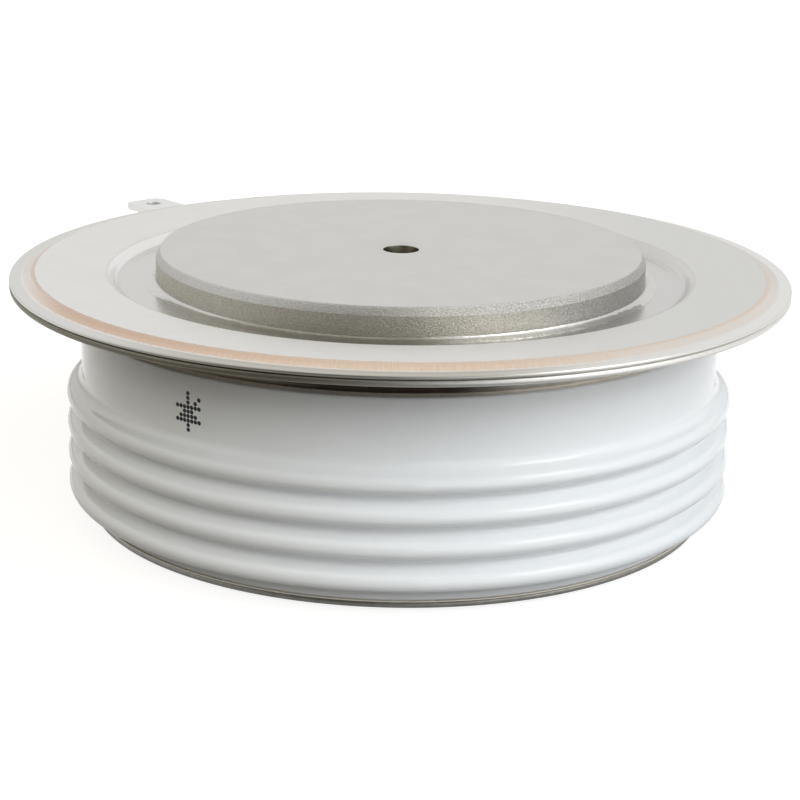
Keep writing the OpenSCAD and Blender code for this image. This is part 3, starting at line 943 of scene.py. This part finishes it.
def make_floor():
    """Pale floor that reads white, keeps the object's shadow, and mirrors darker at the near left."""
    deselect()
    bpy.ops.mesh.primitive_plane_add(size=6, location=(0, 0, 0))
    floor = bpy.context.object
    floor.name = "floor"
    finish = Finish("pale_floor", (0.27, 0.27, 0.27), 0.0, 0.9)
    tint = finish.ramp(finish.along("X"), -40 * mm, 30 * mm)
    finish.set(base_color=finish.mix(tint, (0.27, 0.25, 0.215), (0.26, 0.265, 0.27)))
    path = finish.node("ShaderNodeLightPath").outputs
    seen = finish.math("MAXIMUM", path["Is Camera Ray"], path["Is Transmission Ray"])
    level = finish.ramp(finish.radius(), 30 * mm, 130 * mm, floor_near, 1.0)
    far_side = finish.ramp(finish.along("Y"), -60 * mm, 30 * mm, near_mirrored, far_mirrored)
    right_side = finish.ramp(finish.along("X"), 0, 90 * mm, near_mirrored, far_mirrored)
    mirrored_level = finish.math("MAXIMUM", far_side, right_side)
    mirrored = finish.math("MULTIPLY", path["Is Glossy Ray"], mirrored_level)
    strength = finish.math("MAXIMUM", finish.math("MULTIPLY", seen, level), mirrored)
    finish.set(emission_color=(1, 1, 1), emission_strength=strength)
    floor.data.materials.append(finish.material)


def make_world():
    """White backdrop for the camera, and for reflections the same with a darker near side."""
    world = bpy.data.worlds.new("studio")
    bpy.context.scene.world = world
    world.use_nodes = True
    nodes = Nodes(world.node_tree)
    path = nodes.node("ShaderNodeLightPath").outputs
    direction = nodes.node("ShaderNodeTexCoord").outputs["Generated"]
    across = nodes.node("ShaderNodeSeparateXYZ", {0: direction}).outputs
    far_side = nodes.ramp(across["Y"], -0.85, -0.2, near_mirrored, 1.0)
    horizon = nodes.ramp(across["Z"], 0.0, 0.2, 0.6, 1.0)
    level = nodes.math("MULTIPLY", horizon, far_side)
    mirrored = nodes.math("MULTIPLY", path["Is Glossy Ray"], level)
    seen = nodes.math("MAXIMUM", path["Is Camera Ray"], path["Is Transmission Ray"])
    background = world.node_tree.nodes["Background"]
    background.inputs["Color"].default_value = (1, 1, 1, 1)
    nodes.feed(background.inputs["Strength"], nodes.math("MAXIMUM", seen, mirrored))


def make_lamp(name, azimuth, elevation, width, height, power, colour, mirrored):
    """Soft box that looks at the capsule, its azimuth counted from the near side towards +X."""
    middle = Vector((0, 0, 0.5 * face_z))
    turn = math.radians(azimuth)
    tilt = math.radians(elevation)
    aim = Vector((math.sin(turn) * math.cos(tilt), -math.cos(turn) * math.cos(tilt), math.sin(tilt)))
    data = bpy.data.lights.new(name, "AREA")
    data.shape = "RECTANGLE"
    data.size = width
    data.size_y = height
    data.energy = power
    data.color = colour
    lamp = bpy.data.objects.new(name, data)
    lamp.visible_glossy = mirrored
    lamp.location = middle + lamp_distance * aim
    lamp.rotation_euler = aim.to_track_quat("Z", "Y").to_euler()
    bpy.context.scene.collection.objects.link(lamp)


def make_camera():
    """Camera of the photograph: its place, its tilt down, its slight roll and its lens."""
    data = bpy.data.cameras.new("camera")
    data.lens = 97.48
    data.sensor_width = 36
    camera = bpy.data.objects.new("camera", data)
    place = Matrix.Translation((0, -0.2079, 0.07303))
    yaw = Matrix.Rotation(math.radians(-0.042), 4, "Z")
    tilt = Matrix.Rotation(math.radians(73.221), 4, "X")
    roll = Matrix.Rotation(math.radians(0.983), 4, "Z")
    camera.matrix_world = place @ yaw @ tilt @ roll
    bpy.context.scene.collection.objects.link(camera)
    bpy.context.scene.camera = camera


# Levels that the floor and the backdrop show
floor_near = 0.85
near_mirrored = 0.1
far_mirrored = 0.9

# Lamps: name, azimuth, elevation, width, height, power, colour, and whether reflections show it
lamp_distance = 0.5
cool = (0.95, 0.985, 1.0)
plain = (1.0, 0.99, 0.97)
warm = (1.0, 0.95, 0.83)
lamps = [
    ("key_lamp", 58, 40, 0.2, 0.17, 0.37, cool, True),
    ("key_panel", 58, 40, 0.3, 0.26, 0.48, cool, False),
    ("left_panel", -55, 38, 0.5, 0.25, 0.57, warm, False),
    ("back_panel", -115, 50, 0.5, 0.5, 0.7, warm, False),
    ("top_panel", 10, 36, 0.3, 0.2, 0.6, cool, False),
    ("right_panel", 70, 12, 0.6, 0.5, 0.9, cool, False),
    ("front_panel", 42, 12, 0.7, 0.45, 1.0, plain, True),
]

make_floor()
make_world()
for lamp in lamps:
    make_lamp(*lamp)
make_camera()
bpy.context.scene.view_settings.view_transform = "Standard"
